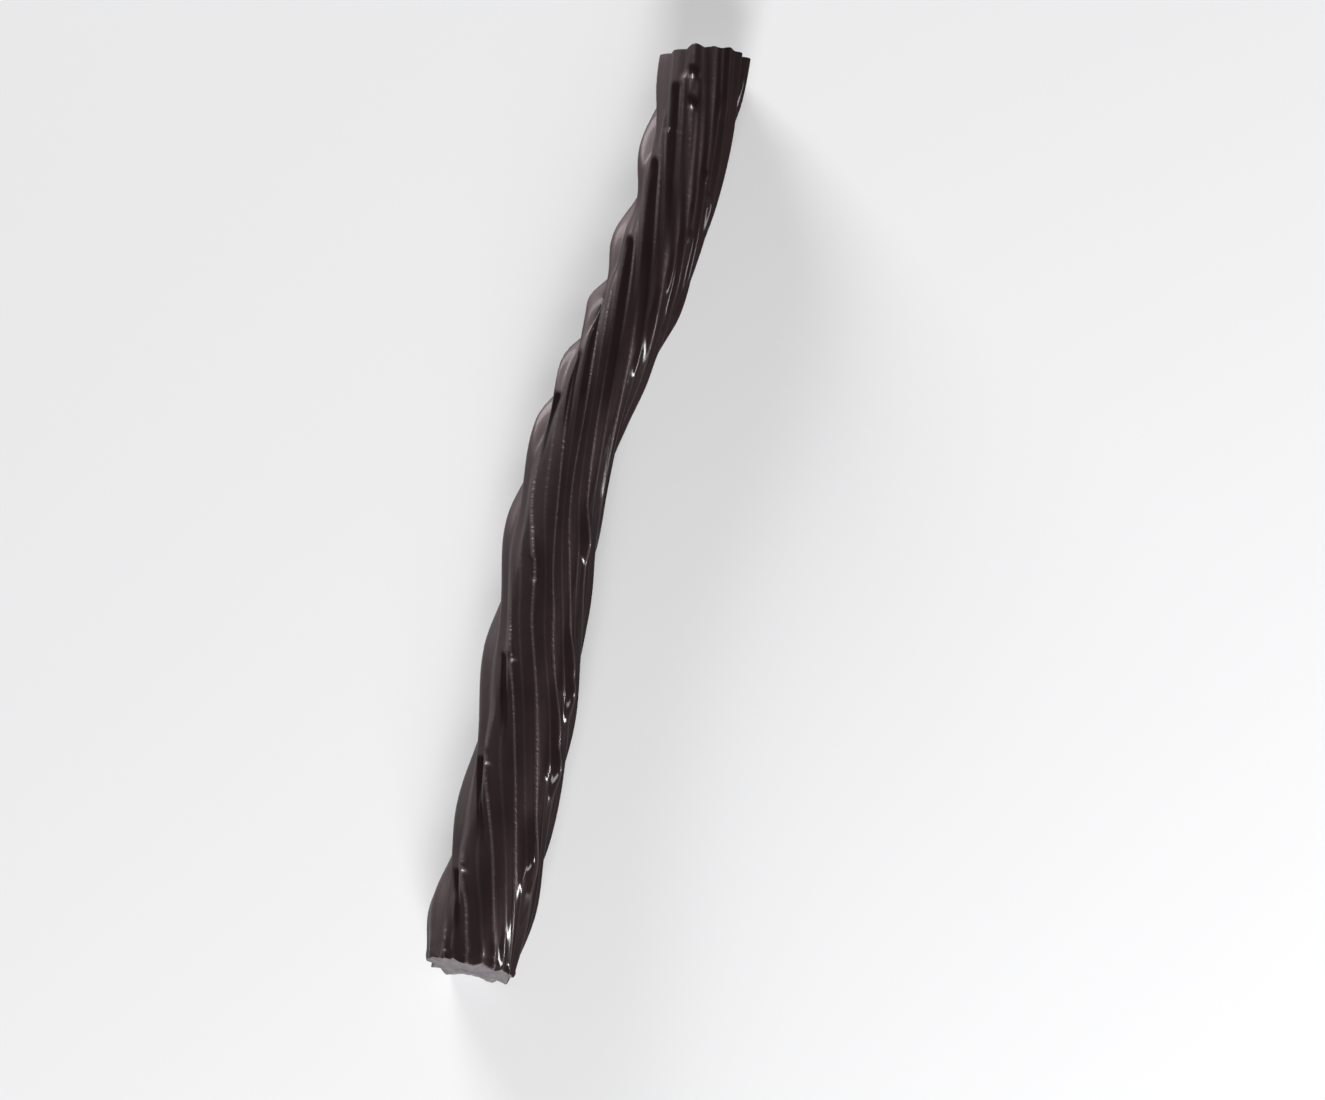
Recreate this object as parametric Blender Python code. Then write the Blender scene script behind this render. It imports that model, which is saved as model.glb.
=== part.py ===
"""Black licorice twist: one extruded, ribbed strand of soft candy, twisted and cut at both ends, lying on its side.

Frame: metres, +Z up. The strand lies along Y with its near cut at -Y and its far cut at +Y, and its shown side is
up. The origin is on the resting surface, under the middle of the strand. Angles round the strand are in degrees,
0 at the top and positive towards +X. Places along it are shares of its length, 0 at the near cut and 1 at the far.
"""

import bisect
import math

import bmesh
import bpy

MM = 0.001

# Size of the strand
LENGTH = 154.0 * MM
PRESSED_FLAT = 0.5 * MM  # how far the soft underside has settled where its ribs touch the surface

# Radius over the ribs, largest near one end and pulled thin towards the other: (place, radius)
RADII = ((0.0, 7.3 * MM), (0.12, 7.3 * MM), (0.72, 6.6 * MM), (1.0, 6.8 * MM))

# Shoulders where ribs come round the left side from below, with clefts between them, and the slighter swells and
# dips of the right side: (place, reach towards the far cut, reach towards the near cut, height in millimetres)
LEFT_SHOULDERS = (
    (1.000, 0.030, 0.034, 2.00),
    (0.895, 0.033, 0.060, 2.40),
    (0.782, 0.070, 0.030, 2.70),
    (0.711, 0.030, 0.017, 2.50),
    (0.648, 0.018, 0.023, 2.25),
    (0.575, 0.026, 0.084, 2.40),
    (0.471, 0.055, 0.090, 2.50),
    (0.335, 0.067, 0.110, 2.35),
    (0.169, 0.100, 0.070, 2.10),
    (0.056, 0.086, 0.066, 2.85),
)
RIGHT_SWELLS = (
    (1.000, 0.020, 0.032, 1.80),
    (0.932, 0.250, 0.043, -1.05),
    (0.731, 0.060, 0.031, 0.70),
    (0.650, 0.020, 0.020, 0.20),
    (0.572, 0.070, 0.058, -1.10),
    (0.478, 0.050, 0.054, 0.70),
    (0.395, 0.065, 0.200, 0.85),
    (0.275, 0.050, 0.055, 0.60),
    (0.166, 0.155, 0.040, 0.70),
    (0.073, 0.055, 0.075, 1.10),
)

# The two sides: middle angle, reach in degrees, level between the swells in millimetres, and the swells
SIDES = (
    (-94.0, 24.0, -1.0, LEFT_SHOULDERS),
    (94.0, 28.0, -0.1, RIGHT_SWELLS),
)
SIDE_LEAN = 0.3  # how closely a shoulder follows the turning ribs, 1 being fully
LEAST_LEAN_RATE = 1.0  # slowest turn, in degrees for each millimetre, that a shoulder follows

# How the strand wanders sideways: the height of one, two, three and four half waves over its length
SIDEWAYS_WAVES = (-2.7 * MM, -0.5 * MM, 1.7 * MM, -0.35 * MM)

# How fast the ribs turn, in degrees for each millimetre: (place, rate)
TURN_RATES = (
    (0.0, 2.3),
    (0.2, 1.65),
    (0.4, 1.8),
    (0.55, 1.55),
    (0.78, 2.95),
    (0.92, 1.25),
    (1.0, 1.0),
)

# The ribs in order round the strand: width in degrees, height as a share of the full height, and how far the
# soft tip was dragged out by the blade at the near and at the far cut, in millimetres
RIBS = (
    (26, 0.90, 0.1, 0.2),
    (28, 0.95, 0.2, 0.7),
    (35, 1.00, 0.3, 0.1),
    (34, 1.00, 0.1, 0.2),
    (28, 0.90, 0.4, 0.3),
    (25, 0.85, 0.2, 0.1),
    (26, 0.90, 0.5, 0.3),
    (36, 1.00, 0.1, 0.2),
    (26, 0.90, 0.3, 0.4),
    (33, 1.00, 0.6, 0.2),
    (39, 1.00, 0.7, 0.1),
    (24, 0.85, 0.2, 0.3),
)
FIRST_GROOVE = 23.5  # angle at the far cut of the groove that the first rib starts from
RIB_HEIGHT = 0.15  # full height of a rib as a share of the radius
GROOVE_SHARPNESS = 1.25  # 1 is a sharp V between round ribs, 2 an even wave

# The groove beside the first rib runs out towards the near cut, where two ribs have merged: (place, share filled)
GROOVE_RUNS_OUT = ((0.0, 0.9), (0.12, 0.8), (0.35, 0.0), (1.0, 0.0))

# The cuts
NEAR_CUT_SKEW = 3.5  # degrees that the near cut turns away from square
FAR_CUT_SKEW = 8.0
CUT_CROWN = 0.35 * MM  # how far the middle of a cut face stands out

# Fineness of the mesh
POINTS_PER_RIB = 6
RINGS = 76
TURN_STEPS = 400

SKIN_COLOUR = (0.012, 0.009, 0.009)
SKIN_ROUGHNESS = 0.28


def clear_scene():
    for item in list(bpy.data.objects):
        bpy.data.objects.remove(item, do_unlink=True)


def blend(place, stations):
    """The value at a place, easing from each station to the next."""
    spots = [spot for spot, value in stations]
    after = min(max(bisect.bisect_right(spots, place), 1), len(stations) - 1)
    (start, first), (end, last) = stations[after - 1], stations[after]
    share = min(max((place - start) / (end - start), 0.0), 1.0)
    return first + (last - first) * (0.5 - 0.5 * math.cos(math.pi * share))


def turn_table():
    """Angles that the ribs have turned through, counted from the far cut, at even steps from the near cut."""
    step_mm = LENGTH / MM / TURN_STEPS
    turned = [0.0]
    for step in range(TURN_STEPS, 0, -1):
        turned.append(turned[-1] + blend((step - 0.5) / TURN_STEPS, TURN_RATES) * step_mm)
    return turned[::-1]


def turned_at(place, table):
    spot = min(max(place, 0.0), 1.0) * TURN_STEPS
    low = min(int(spot), TURN_STEPS - 1)
    return table[low] + (table[low + 1] - table[low]) * (spot - low)


def centre_line(place):
    """Where the strand's middle lies, seen from above, and the direction it runs in there."""
    sideways = 0.0
    slope = 0.0
    for number, height in enumerate(SIDEWAYS_WAVES, start=1):
        wave = number * math.pi
        sideways += height * math.sin(wave * place)
        slope += height * wave * math.cos(wave * place)
    along = math.hypot(slope, LENGTH)
    return (sideways, (place - 0.5) * LENGTH), (slope / along, LENGTH / along)


def rib_profile(share, place, side_filled):
    """Height over a rib, 0 in its grooves and 1 on its crest, with one side filled where its groove runs out."""
    height = math.sin(math.pi * share) ** GROOVE_SHARPNESS
    on_filled_side = (side_filled == "first" and share < 0.5) or (side_filled == "last" and share > 0.5)
    if on_filled_side or (side_filled and share in (0.0, 1.0)):
        height = max(height, blend(place, GROOVE_RUNS_OUT))
    return height


def swell_height(spot, level, swells):
    """The height in millimetres of a side's swells at a spot along the strand."""
    height = level
    for place, far_reach, near_reach, rise in swells:
        apart = spot - place
        share = min(abs(apart) / (far_reach if apart > 0.0 else near_reach), 1.0)
        height += rise * math.cos(math.pi / 2.0 * share) ** 2
    return height


def side_offset(angle, place):
    """How far the sides move the outline out or in at an angle and a place."""
    total = 0.0
    drag = SIDE_LEAN / (max(blend(place, TURN_RATES), LEAST_LEAN_RATE) * LENGTH / MM)
    for middle, reach, level, swells in SIDES:
        apart = (angle - middle + 180.0) % 360.0 - 180.0
        if abs(apart) < 3.0 * reach:
            height = swell_height(place + apart * drag, level, swells)
            total += height * MM * math.exp(-((apart / reach) ** 2))
    return total


def section(place, turned):
    """The ribbed outline at a place: for each column its angle and its radius."""
    outline = []
    radius = blend(place, RADII)
    groove = FIRST_GROOVE + turned
    for number, (width, share_of_height, near_tip, far_tip) in enumerate(RIBS):
        side_filled = {0: "first", len(RIBS) - 1: "last"}.get(number, "")
        for point in range(POINTS_PER_RIB):
            share = point / POINTS_PER_RIB
            angle = groove - width * share
            lift = rib_profile(share, place, side_filled) * share_of_height
            reach = radius * (1.0 - RIB_HEIGHT * (1.0 - lift)) + side_offset(angle, place)
            outline.append((angle, reach))
        groove -= width
    return outline


def cut_offsets(end):
    """How far each column stands out at a cut where the blade dragged the rib tips."""
    offsets = []
    for width, share_of_height, near_tip, far_tip in RIBS:
        tip = near_tip if end == "near" else far_tip
        for point in range(POINTS_PER_RIB):
            offsets.append(tip * MM * math.sin(math.pi * point / POINTS_PER_RIB))
    return offsets


def ring_points(place, table):
    """The points of one ring, set square to the centre line and settled on the resting surface."""
    (x, y), (run_x, run_y) = centre_line(place)
    middle = blend(place, RADII) - PRESSED_FLAT
    turned = turned_at(place, table)
    points = []
    for angle, radius in section(place, turned):
        around = math.radians(angle)
        aside = radius * math.sin(around)
        up = max(middle + radius * math.cos(around), 0.0)
        points.append([x + aside * run_y, y - aside * run_x, up])
    return points


def shape_cut(points, place, skew, end):
    """Moves an end ring along the strand to the skewed cut with its dragged rib tips."""
    (x, y), (run_x, run_y) = centre_line(place)
    outward = 1.0 if end == "far" else -1.0
    for point, offset in zip(points, cut_offsets(end)):
        aside = (point[0] - x) * run_y - (point[1] - y) * run_x
        along = aside * math.tan(math.radians(skew)) + outward * offset
        point[0] += along * run_x
        point[1] += along * run_y
    return points


def cut_middle(ring, place, end):
    """The crowned middle point of a cut face."""
    run_x, run_y = centre_line(place)[1]
    outward = CUT_CROWN if end == "far" else -CUT_CROWN
    x, y, z = (sum(point[axis] for point in ring) / len(ring) for axis in range(3))
    return (x + outward * run_x, y + outward * run_y, z)


def build_strand():
    """The whole strand as one closed body of rings that turn with the ribs, closed by a fan at each cut."""
    table = turn_table()
    places = [number / (RINGS - 1) for number in range(RINGS)]
    rings = [ring_points(place, table) for place in places]
    rings[0] = shape_cut(rings[0], 0.0, NEAR_CUT_SKEW, "near")
    rings[-1] = shape_cut(rings[-1], 1.0, FAR_CUT_SKEW, "far")
    middles = (cut_middle(rings[0], 0.0, "near"), cut_middle(rings[-1], 1.0, "far"))

    body = bmesh.new()
    rows = [[body.verts.new(point) for point in ring] for ring in rings]
    near_middle, far_middle = (body.verts.new(point) for point in middles)
    columns = len(rows[0])
    for row, next_row in zip(rows, rows[1:]):
        for column in range(columns):
            after = (column + 1) % columns
            body.faces.new((row[column], row[after], next_row[after], next_row[column]))
    for column in range(columns):
        after = (column + 1) % columns
        body.faces.new((rows[0][after], rows[0][column], near_middle))
        body.faces.new((rows[-1][column], rows[-1][after], far_middle))
    bmesh.ops.triangulate(body, faces=body.faces[:])
    bmesh.ops.recalc_face_normals(body, faces=body.faces[:])
    centre_on_origin(body)
    return body


def centre_on_origin(body):
    """Puts the middle of the footprint over the origin."""
    for axis in (0, 1):
        places = [vert.co[axis] for vert in body.verts]
        shift = (min(places) + max(places)) / 2.0
        for vert in body.verts:
            vert.co[axis] -= shift


def skin_material():
    material = bpy.data.materials.new("licorice_skin")
    material.use_nodes = True
    shader = material.node_tree.nodes["Principled BSDF"]
    shader.inputs["Base Color"].default_value = (*SKIN_COLOUR, 1.0)
    shader.inputs["Roughness"].default_value = SKIN_ROUGHNESS
    shader.inputs["Metallic"].default_value = 0.0
    return material


def make_twist():
    body = build_strand()
    mesh = bpy.data.meshes.new("licorice_twist")
    body.to_mesh(mesh)
    body.free()
    mesh.materials.append(skin_material())
    mesh.shade_smooth()
    twist = bpy.data.objects.new("licorice_twist", mesh)
    bpy.context.scene.collection.objects.link(twist)
    return twist


def main():
    clear_scene()
    make_twist()


main()
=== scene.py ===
"""Black licorice twist on a plain pale floor, laid out as an add-on: a sidebar panel with one button for the
twist and one for the stage. The strand is swept and ribbed by a node tree, then its shoulders, dents and cuts
are shaped here.

Frame: metres, +Z up. The strand lies along Y with its near cut at -Y and its far cut at +Y. Angles round the
strand are in degrees, 0 at the top and positive towards +X. Places along it are shares of its length, 0 at
the near cut.
"""

import math

import bpy
import numpy as np
from bpy.props import FloatProperty, FloatVectorProperty, IntProperty, PointerProperty
from bpy.types import Operator, Panel, PropertyGroup
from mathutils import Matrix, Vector


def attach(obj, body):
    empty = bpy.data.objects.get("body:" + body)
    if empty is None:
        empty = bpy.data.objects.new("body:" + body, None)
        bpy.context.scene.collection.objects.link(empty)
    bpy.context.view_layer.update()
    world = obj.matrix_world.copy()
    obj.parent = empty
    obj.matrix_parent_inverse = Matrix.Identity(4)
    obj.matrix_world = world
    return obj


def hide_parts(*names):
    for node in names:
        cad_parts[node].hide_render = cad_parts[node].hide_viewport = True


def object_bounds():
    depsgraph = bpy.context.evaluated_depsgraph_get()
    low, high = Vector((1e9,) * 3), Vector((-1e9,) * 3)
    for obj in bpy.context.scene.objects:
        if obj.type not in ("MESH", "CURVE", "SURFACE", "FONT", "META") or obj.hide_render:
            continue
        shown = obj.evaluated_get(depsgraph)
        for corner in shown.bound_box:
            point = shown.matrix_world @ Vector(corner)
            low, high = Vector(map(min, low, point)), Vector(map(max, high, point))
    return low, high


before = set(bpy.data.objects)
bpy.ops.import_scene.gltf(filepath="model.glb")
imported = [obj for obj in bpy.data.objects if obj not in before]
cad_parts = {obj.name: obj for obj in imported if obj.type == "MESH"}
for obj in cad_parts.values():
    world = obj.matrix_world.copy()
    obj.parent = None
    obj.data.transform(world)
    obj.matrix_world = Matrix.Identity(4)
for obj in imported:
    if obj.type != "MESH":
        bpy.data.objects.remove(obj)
BOX_LOW, BOX_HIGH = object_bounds()

bl_info = {
    "name": "Black licorice twist",
    "version": (1, 0, 0),
    "blender": (4, 5, 0),
    "location": "3D View > Sidebar > Licorice",
    "description": "Makes a twisted, ribbed strand of black licorice and the stage it is shown on",
    "category": "Add Mesh",
}

MM = 0.001

# Radius over the ribs: (place, radius)
RADII = ((0.0, 7.3 * MM), (0.12, 7.3 * MM), (0.72, 6.6 * MM), (1.0, 6.8 * MM))
PRESSED_FLAT = 0.5 * MM  # how far the strand's own weight presses its underside flat

# Swells of the two sides: (place, reach towards the far cut, reach towards the near cut, height), the last in
# millimetres
LEFT_SHOULDERS = (
    (1.000, 0.130, 0.034, 2.00),
    (0.895, 0.033, 0.060, 2.40),
    (0.782, 0.070, 0.030, 2.70),
    (0.711, 0.030, 0.017, 2.50),
    (0.648, 0.018, 0.023, 2.25),
    (0.575, 0.026, 0.084, 2.40),
    (0.471, 0.055, 0.090, 2.50),
    (0.335, 0.067, 0.110, 2.35),
    (0.169, 0.100, 0.070, 2.10),
    (0.056, 0.086, 0.066, 2.85),
)
RIGHT_SWELLS = (
    (1.000, 0.110, 0.036, 1.60),
    (0.932, 0.250, 0.043, -1.05),
    (0.731, 0.060, 0.031, 0.70),
    (0.650, 0.020, 0.020, 0.20),
    (0.572, 0.070, 0.058, -1.10),
    (0.478, 0.050, 0.054, 0.70),
    (0.395, 0.065, 0.200, 0.85),
    (0.275, 0.050, 0.055, 0.60),
    (0.166, 0.155, 0.040, 0.70),
    (0.073, 0.055, 0.075, 1.10),
)
# The sides: middle angle, reach in degrees, level between the swells in millimetres, and the swells
SIDES = (
    (-94.0, 24.0, -1.0, LEFT_SHOULDERS),
    (94.0, 28.0, -0.1, RIGHT_SWELLS),
)
SIDE_LEAN = 0.45  # how far the swells lean along with the ribs, 1 being all the way
LEAST_LEAN_RATE = 1.0  # where the ribs turn slower than this, the swells still lean as if they turned at it

# Sideways wander of the centre line: one, two, three and four half waves over its length
SIDEWAYS_WAVES = (-2.7 * MM, -0.5 * MM, 1.7 * MM, -0.35 * MM)
FOOTPRINT_MIDDLE = (-2.27 * MM, 0.556 * MM)  # middle of the footprint, seen from the guide line's middle

# How fast the ribs turn, in degrees for each millimetre: (place, rate)
TURN_RATES = (
    (0.0, 2.3),
    (0.2, 1.65),
    (0.4, 1.8),
    (0.55, 1.55),
    (0.78, 2.95),
    (0.92, 1.25),
    (1.0, 1.0),
)
TURN_STEPS = 400

# The ribs round the strand: width in degrees, height share, and how far their tips are dragged at the near
# and at the far cut in millimetres
RIBS = (
    (26, 0.90, 0.1, 0.2),
    (28, 0.95, 0.2, 0.7),
    (35, 1.00, 0.5, 0.1),
    (34, 1.00, 0.7, 0.2),
    (28, 0.90, 0.0, 0.3),
    (25, 0.85, 0.8, 0.1),
    (26, 0.90, 0.9, 0.3),
    (36, 1.00, 0.1, 0.2),
    (26, 0.90, 0.3, 0.4),
    (33, 1.00, 0.6, 0.2),
    (39, 1.00, 0.7, 0.1),
    (24, 0.85, 0.2, 0.3),
)
FIRST_GROOVE = 23.5  # angle at the far cut of the groove before the first rib

# Lines along the strand are numbered round it: the crest of rib n is line 2n + 1, and the fine line in the
# groove before that rib is line 2n.

# Two outlines that blend along the strand. Each: groove depth, width and height of the crest, width and
# height of the fine groove line, heights as shares of the radius and widths as shares of a rib
ROUND_RIBS = (0.052, 0.29, 0.055, 0.21, 0.030)
LINED_RIBS = (0.014, 0.075, 0.026, 0.070, 0.011)
LINED_SWELL = 0.004  # how far a lined rib still rises between its grooves
# How much of the lined outline the strand has: (place, share)
LINED_PLACES = ((0.0, 0.75), (0.06, 1.0), (0.60, 1.0), (0.80, 0.0), (1.0, 0.0))
# Glossy lines on each outline, beaded, rougher and with a painted highlight of extra sheen: width as a share
# of the relief's, strength on the crests and in the grooves
ROUND_GLOSS = (0.6, 0.5, 0.4)
LINED_GLOSS = (1.3, 1.0, 0.3)

# Share of the relief left round the strand: (angle, share). The shoulders at the left are smooth.
RELIEF_ROUND = (
    (-180.0, 1.0),
    (-130.0, 1.0),
    (-105.0, 0.2),
    (-60.0, 0.0),
    (-44.0, 1.0),
    (44.0, 1.0),
    (62.0, 0.3),
    (80.0, 0.15),
    (120.0, 0.4),
    (150.0, 1.0),
    (180.0, 1.0),
)
# How much of the right side gets painted shade, its sheen and coat taken away so that it reads dark: (angle,
# share)
FLANK_ROUND = ((-180.0, 0.0), (12.0, 0.0), (42.0, 1.0), (120.0, 1.0), (160.0, 0.0), (180.0, 0.0))
FLANK_LINED = 0.5  # how much of that painted shade the lined part loses
FLANK_HIDES = 0.9  # how far that painted shade hides the glossy lines
# Degrees that the smooth shoulders reach further up: (place, degrees)
SHOULDER_REACH = (
    (0.0, 8.0),
    (0.3, 8.0),
    (0.5, 0.0),
    (0.92, 0.0),
    (0.955, 15.0),
    (0.975, 30.0),
    (1.0, 34.0),
)
# Degrees that the smooth right side reaches further up: (place, degrees)
FLANK_REACH = ((0.0, 0.0), (0.6, 0.0), (0.82, 13.0), (1.0, 13.0))
SHOULDER_LEVEL = 0.905  # radius of the shoulders in their grooves, as a share of the radius over the ribs
SHOULDER_ROUNDING = 0.085  # how far the shoulders round up between the grooves
SHOULDER_FULLNESS = 1.5  # the higher, the rounder the grooves between the shoulders

# Where a line strays to one side: (line, place, reach towards the far cut, reach towards the near cut,
# degrees)
STRAYS = (
    (11, 0.600, 0.130, 0.140, 8.0),
    (13, 0.520, 0.160, 0.140, 11.0),
    (13, 0.330, 0.060, 0.100, -5.0),
    (15, 0.420, 0.080, 0.070, 9.0),
    (19, 0.220, 0.050, 0.120, -13.0),
    (21, 0.105, 0.040, 0.060, -9.0),
    (15, 0.200, 0.100, 0.100, -3.0),
    (9, 0.450, 0.050, 0.050, 5.0),
    (6, 0.840, 0.080, 0.120, 5.0),
    (8, 0.740, 0.080, 0.100, 4.0),
)

# Small swellings: (line, degrees aside, place, reach towards the far cut, reach towards the near cut, half
# width, height), the last four in millimetres
SWELLINGS = (
    (15, 0.0, 0.430, 5.5, 1.0, 0.45, 0.42),
    (15, 1.0, 0.402, 0.7, 6.0, 0.60, 0.30),
    (17, -2.0, 0.332, 4.5, 0.9, 0.42, 0.38),
    (17, 2.0, 0.316, 0.7, 6.0, 0.60, 0.30),
    (19, 0.0, 0.222, 2.5, 0.8, 0.35, 0.30),
    (19, 2.0, 0.205, 0.7, 5.0, 0.60, 0.30),
    (21, 0.0, 0.100, 2.0, 0.8, 0.35, 0.30),
    (21, 2.0, 0.089, 0.7, 5.0, 0.60, 0.30),
    (9, 0.0, 0.458, 7.0, 4.5, 1.20, 0.65),
    (11, 0.0, 0.325, 6.0, 3.0, 1.20, 0.65),
    (11, -2.0, 0.297, 5.0, 5.0, 1.40, 0.90),
    (13, 0.0, 0.255, 9.0, 3.5, 1.20, 0.65),
    (13, 0.0, 0.217, 6.0, 5.0, 1.50, 1.00),
    (15, -7.0, 0.118, 8.0, 5.0, 1.70, 1.00),
    (5, 0.0, 0.903, 1.0, 8.0, 0.90, 0.50),
    (3, 2.0, 0.963, 1.0, 3.5, 0.95, 0.50),
    (3, 3.0, 0.930, 1.0, 12.0, 0.80, 0.50),
    (2, -5.0, 0.805, 0.8, 5.0, 0.70, 0.40),
    (1, 2.0, 0.868, 1.0, 1.5, 0.60, 0.35),
    (23, -5.0, 0.945, 3.0, 3.5, 0.80, 0.40),
    (0, -2.0, 0.848, 1.0, 1.5, 0.80, 0.40),
    (1, 0.0, 0.011, 3.0, 0.8, 0.32, 0.22),
    (23, 0.0, 0.014, 4.0, 0.9, 0.34, 0.25),
    (22, 0.0, 0.011, 3.0, 0.8, 0.30, 0.20),
    (21, 0.0, 0.013, 4.0, 0.9, 0.34, 0.25),
    (20, 0.0, 0.011, 3.0, 0.8, 0.30, 0.20),
    (19, 0.0, 0.014, 4.0, 0.9, 0.34, 0.25),
)
# Blunt-ended grooves that open within and beside the shoulders, and two dents, listed like the swellings
BLUNT_GROOVES = (
    (5, 5.0, 0.950, 1.9, 30.0, 1.00, -0.40),
    (7, 11.0, 0.864, 2.2, 42.0, 1.50, -0.60),
    (9, 9.0, 0.772, 2.2, 34.0, 1.35, -0.55),
    (12, 7.0, 0.711, 2.1, 24.0, 1.25, -0.50),
    (13, 1.0, 0.640, 1.9, 14.0, 1.00, -0.40),
    (15, 9.0, 0.596, 1.6, 12.0, 0.70, -0.35),
    (17, -13.0, 0.322, 1.2, 15.0, 0.90, -0.30),
    (19, -13.0, 0.210, 1.2, 15.0, 0.90, -0.30),
    (21, -13.0, 0.088, 1.2, 12.0, 0.90, -0.30),
    (3, 2.0, 0.975, 1.0, 1.5, 1.10, -0.25),
    (3, 2.0, 0.942, 1.0, 1.5, 1.00, -0.22),
)
GROOVE_STEEPNESS = 0.5  # half width of a blunt groove's right wall as a share of its left wall's
# The raised rib tips beside the near cut: height, reach along the strand, and width as a share of a rib
LIP_HEIGHT = 0.15 * MM
LIP_REACH = 0.7 * MM
LIP_WIDTH = 0.3

# The groove beside the first rib runs out towards the near cut: (place, share filled)
GROOVE_RUNS_OUT = ((0.0, 0.9), (0.12, 0.8), (0.35, 0.0), (1.0, 0.0))

# The cuts
NEAR_CUT_SKEW = 3.5  # slant in degrees
FAR_CUT_SKEW = 8.0
TIP_REACH = 3.0 * MM  # how far in from a cut the drag of the rib tips reaches
CUT_ROUNDING = 0.16 * MM  # radius of the edge between skin and cut
CUT_CROWN = 0.35 * MM
CUT_LEVELLING = 4  # the higher, the sooner the edge's unevenness dies out towards the middle
CUT_ROUGHNESS = 0.02 * MM
TORN_WAVES = (5, 9, 14, 19, 26)  # waves round the torn edge of the near cut
TORN_DRAG = 0.11 * MM

# Fineness of the mesh
COLUMNS_PER_RIB = 16
COLUMN_CROWDING = 0.45  # how much closer columns stand on the crests and in the grooves
RINGS = 472
END_STEPS = (0.03 * MM, 0.08 * MM, 0.15 * MM, 0.25 * MM)  # extra rings beside each cut
CUT_RINGS = 12

# Finish of the skin, and the painted sheen and painted shade on parts of it
SHEEN_TINT = (1.0, 0.76, 0.80, 1.0)
# Towards the rim the sheen goes over to the shoulders' mask: a painted sheen on the left rims and painted
# shade on all other rims
SHEEN_SPAN = (0.42, 0.9)  # how far a face turns away from the eye where the sheen starts and is full
TOP_SHEEN = 0.5  # sheen of the faces that look at the eye
SHEEN_GONE = 0.5  # painted shade at which that sheen is gone
COAT_ROUGHNESS = 0.11
COAT_WEIGHT = 0.35
# The coat's fading towards the rim is painted shade there
COAT_SPAN = (0.3, 0.75)  # how far a face turns away where the coat starts to fade and is gone
SHOULDER_COAT = 0.1  # share of the coat left on the shoulders
FLANK_COAT = 0.12  # share of the coat left where shade is painted, on the right side and in the grooves
ROUGHNESS_SPREAD = (-0.04, 0.05)  # how far the roughness wanders
LINE_ROUGHNESS = 0.22  # how much rougher the lines and the shoulders are
SHOULDER_ROUGHNESS = 0.20
# Extra sheen along the lines, a painted highlight on top of their real beads
LINE_SHEEN = 0.85
SKIN_SHADES = (0.88, 1.12)  # the darker and the lighter shade, as shares of the colour
CUT_SHADES = (0.7, 1.2)
SHADE_SPAN = (0.3, 0.7)

# The lights, which all face the middle of the strand: place and size
SOFT_LIGHT = ((-0.57, 0.679, 0.157), (0.4, 0.3))
NEAR_LIGHT = ((0.238, -1.075, 0.478), (0.6, 0.6))
GLINT_LIGHT = ((0.681, -0.316, 0.496), (0.24, 0.14))
SIDE_LIGHT = ((0.88, 0.055, 0.144), (0.10, 0.10))
FLOOR_GAP = 0.02 * MM  # how far the floor lies below the strand, so that the two don't share a plane

# The camera, for a picture of 1325 by 1100
CAMERA_AZIMUTH = -14.127
CAMERA_ELEVATION = 78.0
CAMERA_DISTANCE = 1.5
CAMERA_LENS = 254.16
CAMERA_SENSOR = 36.0
CAMERA_AIM = (0.01494, -0.00291, 0.0)


class TwistSettings(PropertyGroup):
    """Length, grain and colours of the twist"""

    length: FloatProperty(
        name="Length",
        description="Length of the strand from cut to cut",
        default=0.154,
        min=0.05,
        max=0.4,
        unit="LENGTH",
    )
    grain_height: FloatProperty(
        name="Grain height",
        description="Height of the fine unevenness of the skin",
        default=0.00003,
        min=0.0,
        max=0.001,
        precision=6,
        unit="LENGTH",
    )
    grain_size: FloatProperty(
        name="Grain size",
        description="Size of the fine unevenness of the skin",
        default=0.0012,
        min=0.0002,
        max=0.01,
        precision=5,
        unit="LENGTH",
    )
    seed: IntProperty(name="Seed", description="Chooses the fine unevenness", default=7, min=0, max=1000)
    skin_colour: FloatVectorProperty(
        name="Skin colour",
        description="Colour of the glossy skin",
        default=(0.015, 0.0093, 0.0101),
        size=3,
        min=0.0,
        max=1.0,
        subtype="COLOR",
    )
    skin_roughness: FloatProperty(
        name="Skin roughness",
        description="Roughness of the glossy skin",
        default=0.38,
        min=0.0,
        max=1.0,
        subtype="FACTOR",
    )
    cut_colour: FloatVectorProperty(
        name="Cut colour",
        description="Colour of the cut candy at the ends",
        default=(0.11, 0.096, 0.102),
        size=3,
        min=0.0,
        max=1.0,
        subtype="COLOR",
    )


class StageSettings(PropertyGroup):
    """Floor and lights of the stage"""

    floor_colour: FloatVectorProperty(
        name="Floor colour",
        description="Colour of the pale floor",
        default=(0.85, 0.85, 0.86),
        size=3,
        min=0.0,
        max=1.0,
        subtype="COLOR",
    )
    floor_size: FloatProperty(
        name="Floor size",
        description="Length of each side of the floor",
        default=8.0,
        min=1.0,
        max=50.0,
        unit="LENGTH",
    )
    soft_power: FloatProperty(
        name="Soft power",
        description="Power of the large soft light at the far left",
        default=11.0,
        min=0.0,
        max=1000.0,
        unit="POWER",
    )
    near_power: FloatProperty(
        name="Near power",
        description="Power of the large soft light beyond the near cut",
        default=16.0,
        min=0.0,
        max=1000.0,
        unit="POWER",
    )
    glint_power: FloatProperty(
        name="Glint power",
        description="Power of the light at the near right that makes the glints",
        default=3.6,
        min=0.0,
        max=100.0,
        unit="POWER",
    )
    side_power: FloatProperty(
        name="Side power",
        description="Power of the low light at the right",
        default=5.0,
        min=0.0,
        max=100.0,
        unit="POWER",
    )
    surrounding_light: FloatProperty(
        name="Surrounding light",
        description="Brightness of the room round the stage",
        default=0.03,
        min=0.0,
        max=10.0,
    )


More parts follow.
